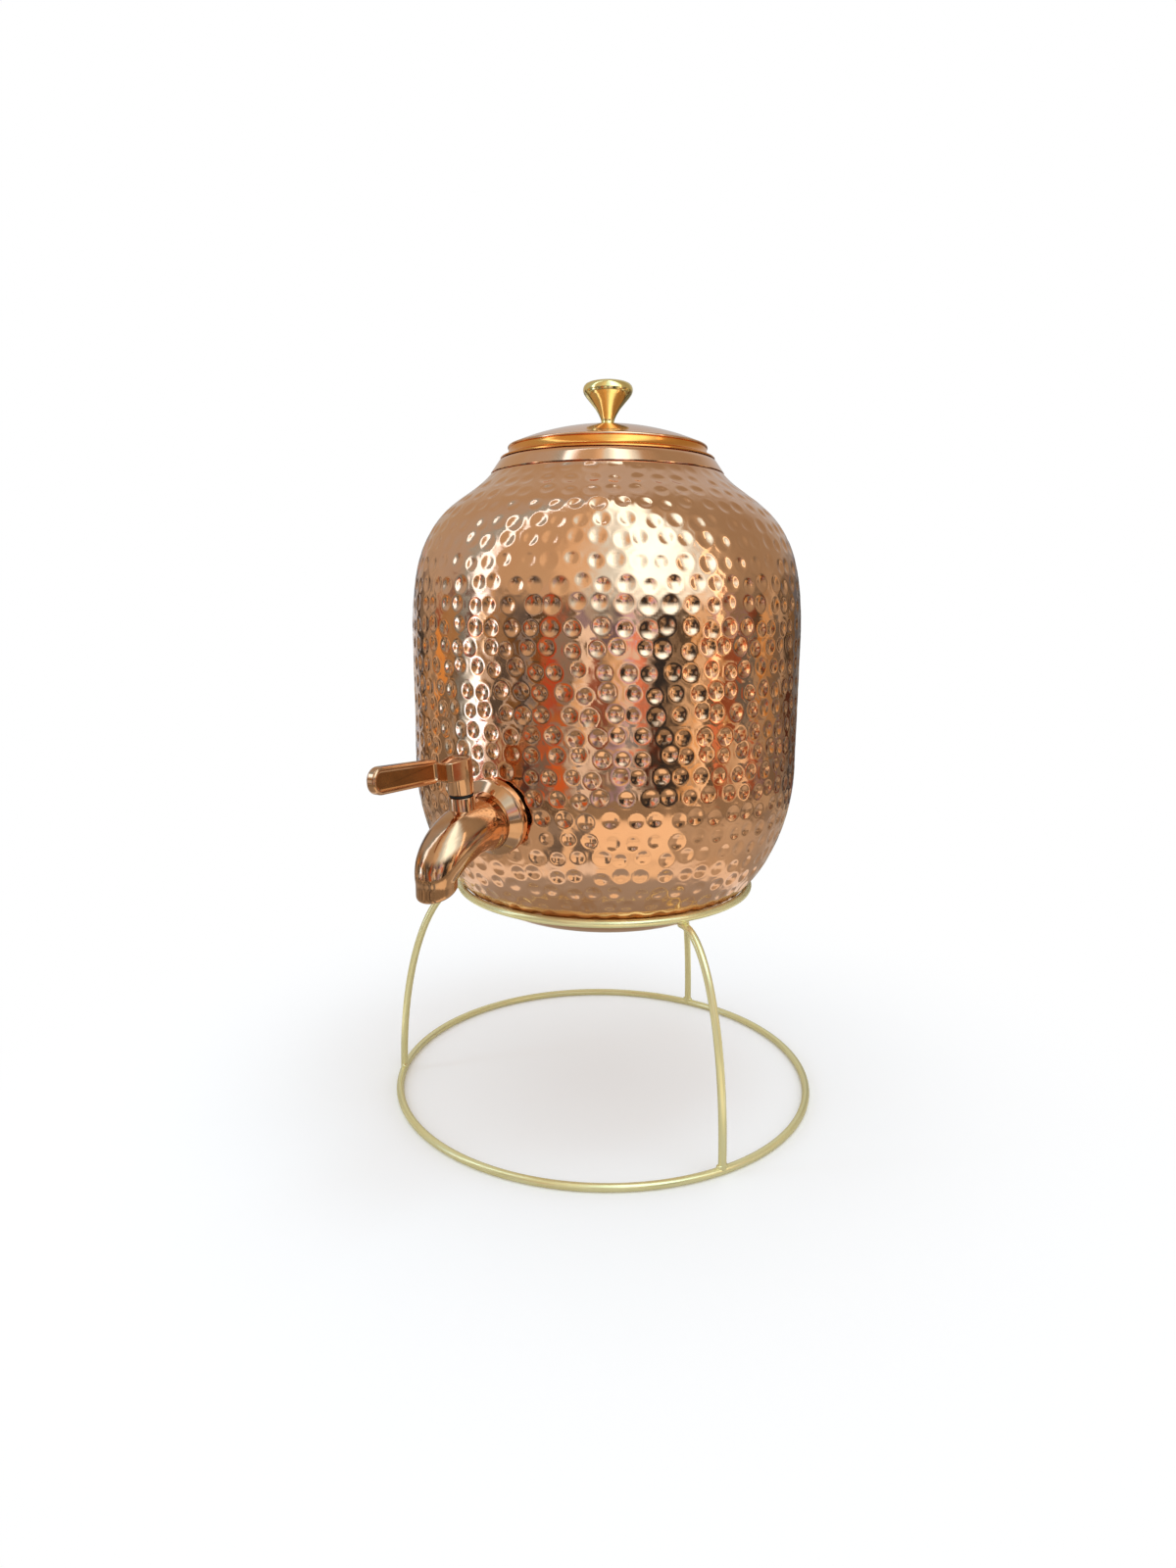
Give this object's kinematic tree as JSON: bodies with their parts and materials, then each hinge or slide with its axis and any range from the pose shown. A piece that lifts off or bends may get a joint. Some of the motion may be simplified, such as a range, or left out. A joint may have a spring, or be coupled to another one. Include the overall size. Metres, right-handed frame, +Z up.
{
  "type": "copper water dispenser",
  "caption": "Hammered copper tank with a lift-off domed lid and a quarter-turn lever tap, resting in an open wire stand.",
  "frame": {"origin": "on the surface that the dispenser stands on, under the middle of its bounding box", "axes": "+Z up along the tank's axis; -Y is the way the tap and its lever point; X runs across"},
  "size_m": [0.233, 0.297, 0.3776],
  "materials": {
    "hammered_copper": "polished copper, hammered all over in round dimples",
    "polished_copper": "smooth polished copper or copper plating",
    "satin_brass": "satin pale brass plating on steel wire",
    "polished_brass": "polished yellow brass",
    "rubber": "matt black rubber",
    "steel": "plain bright steel"
  },
  "bodies": {
    "stand": {"base_ring": "satin_brass", "top_ring": "satin_brass", "leg_rear": "satin_brass", "leg_left": "satin_brass", "leg_right": "satin_brass"},
    "tank": {"tank_lower": "hammered_copper", "tank_upper": "hammered_copper", "neck_collar": "polished_copper", "tap_body": "polished_copper", "tap_flange": "polished_copper", "outer_gasket": "rubber", "inner_gasket": "rubber", "inner_washer": "steel", "lock_nut": "polished_brass", "valve_retainer": "polished_brass", "stem_washer": "rubber"},
    "lid": {"lid_dome": "polished_copper", "lid_skirt": "polished_copper", "lid_knob": "polished_brass", "knob_washer": "steel", "knob_screw": "steel"},
    "lever": {"lever": "polished_copper", "lever_screw": "steel", "lever_cap": "polished_copper", "valve_plug": "polished_brass", "plug_ring_lower": "rubber", "plug_ring_upper": "rubber"}
  },
  "joints": [
    {"name": "tank_lift", "type": "slide", "parent": "stand", "child": "tank", "axis": [0, 0, 1], "range_m": [0, 0.08]},
    {"name": "lid_lift", "type": "slide", "parent": "tank", "child": "lid", "axis": [0, 0, 1], "range_m": [0, 0.06]},
    {"name": "lever_turn", "type": "hinge", "parent": "tank", "child": "lever", "pos_m": [0, -0.09367, 0.19318], "axis": [0, -0.1175, 0.9931], "range_deg": [0, 90]}
  ]
}
